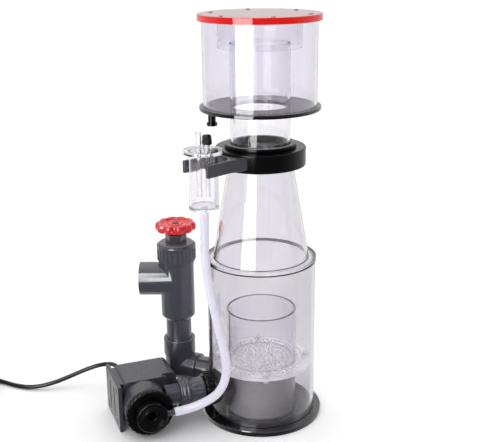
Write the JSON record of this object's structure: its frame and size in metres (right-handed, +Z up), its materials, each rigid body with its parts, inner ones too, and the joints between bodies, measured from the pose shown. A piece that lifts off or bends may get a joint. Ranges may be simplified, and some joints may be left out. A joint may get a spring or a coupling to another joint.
{
  "type": "protein skimmer",
  "caption": "Clear cylindrical protein skimmer with a conical neck, lidded collection cup, side needle-wheel pump, air silencer and gate-valved outlet riser.",
  "frame": {"origin": "centre of the base plate's underside, on the column's axis", "axes": "+Z up along the column; the outlet riser and the pump stand on the -X side; -Y is the front"},
  "size_m": [0.5383, 0.2007, 0.525],
  "materials": {
    "clear_acrylic": "clear gloss",
    "black_acrylic": "polished",
    "red_plastic": "gloss",
    "grey_pvc": "satin",
    "bonnet_grey": "satin",
    "black_plastic": "gloss",
    "pump_grey": "fine satin",
    "black_rubber": "matt",
    "cord_jacket": "satin",
    "silicone_hose": "milky",
    "screw_nylon": "satin",
    "white_plastic": "satin",
    "ceramic": "polished",
    "motor_steel": "laminated",
    "magnet": "satin"
  },
  "bodies": {
    "base": {"air_barb": "pump_grey", "air_hose": "silicone_hose", "base_plate": "black_acrylic", "body_cone": "clear_acrylic", "body_seam": "black_rubber", "body_tube": "clear_acrylic", "bubble_plate": "clear_acrylic", "bulkhead_gasket": "black_rubber", "bulkhead_nut": "black_plastic", "cable_gland": "black_plastic", "cord_coil": "cord_jacket", "inlet_bulkhead": "black_plastic", "inlet_chamber": "clear_acrylic", "inlet_pipe": "clear_acrylic", "intake_cover": "black_plastic", "mixing_tube": "clear_acrylic", "motor_stator": "motor_steel", "neck_collar": "black_acrylic", "outlet_elbow": "grey_pvc", "outlet_gasket": "black_rubber", "outlet_stub": "grey_pvc", "plate_screws": "clear_acrylic", "power_cord": "cord_jacket", "power_plug": "black_plastic", "pump_coupler": "grey_pvc", "pump_foot": "pump_grey", "pump_housing": "pump_grey", "pump_shaft": "ceramic", "pump_union": "grey_pvc", "rear_bushing": "black_rubber", "shoulder_plate": "clear_acrylic", "silencer_bottom": "clear_acrylic", "silencer_bracket": "grey_pvc", "silencer_pipes": "clear_acrylic", "silencer_top": "clear_acrylic", "silencer_tube": "clear_acrylic", "volute": "pump_grey", "volute_o_ring": "black_rubber"},
    "collar_ring": {"cup_lock_ring": "black_acrylic", "cup_o_ring": "black_rubber"},
    "cup": {"cup_base_plate": "black_acrylic", "cup_tube": "clear_acrylic", "riser_tube": "clear_acrylic", "drain_nozzle": "black_plastic"},
    "lid": {"lid_plate": "red_plastic", "lid_baffle": "clear_acrylic", "lid_screws": "screw_nylon"},
    "drain_plug": {"drain_plug": "black_plastic"},
    "outlet_riser": {"riser_pipe": "grey_pvc", "valve_tee": "grey_pvc", "valve_bonnet": "bonnet_grey", "valve_union_nut": "grey_pvc", "packing_nut": "black_plastic"},
    "handwheel": {"handwheel": "red_plastic", "valve_stem": "ceramic"},
    "valve_gate": {"valve_gate": "white_plastic"},
    "rotor": {"rotor_magnet": "magnet", "needle_wheel": "white_plastic"},
    "lock_ring": {"volute_lock_ring": "black_plastic"},
    "air_cap": {"air_cap": "black_plastic"}
  },
  "joints": [
    {"name": "cup_turn", "type": "hinge", "parent": "base", "child": "collar_ring", "pos_m": [0, 0, 0.3628], "axis": [0, 0, 1], "range_deg": [-180, 180]},
    {"name": "cup_lift", "type": "slide", "parent": "collar_ring", "child": "cup", "axis": [0, 0, 1], "range_m": [0, 0.08]},
    {"name": "lid_lift", "type": "slide", "parent": "cup", "child": "lid", "axis": [0, 0, 1], "range_m": [0, 0.06]},
    {"name": "drain_plug_pull", "type": "slide", "parent": "cup", "child": "drain_plug", "axis": [0, 0, -1], "range_m": [0, 0.02]},
    {"name": "outlet_swivel", "type": "hinge", "parent": "base", "child": "outlet_riser", "pos_m": [-0.11351, 0.04471, 0.0845], "axis": [0, 0, 1], "range_deg": [-90, 90]},
    {"name": "handwheel_turn", "type": "hinge", "parent": "outlet_riser", "child": "handwheel", "pos_m": [-0.11351, 0.04471, 0.2385], "axis": [0, 0, 1], "range_deg": [-1800, 0]},
    {"name": "gate_slide", "type": "slide", "parent": "outlet_riser", "child": "valve_gate", "axis": [0, 0, 1], "range_m": [-0.0201, 0.0001]},
    {"name": "impeller_spin", "type": "hinge", "parent": "base", "child": "rotor", "pos_m": [-0.14887, -0.05864, 0.033], "axis": [0.3665, -0.9304, 0], "continuous": true},
    {"name": "lock_ring_turn", "type": "hinge", "parent": "base", "child": "lock_ring", "pos_m": [-0.14887, -0.05864, 0.033], "axis": [0.3665, -0.9304, 0], "range_deg": [0, 25]},
    {"name": "air_cap_turn", "type": "hinge", "parent": "base", "child": "air_cap", "pos_m": [-0.062, -0.07, 0.3804], "axis": [0, 0, 1], "range_deg": [0, 270]}
  ],
  "couplings": [
    {"joint": "gate_slide", "follows": "handwheel_turn", "m_per_rad": 0.00063662}
  ]
}
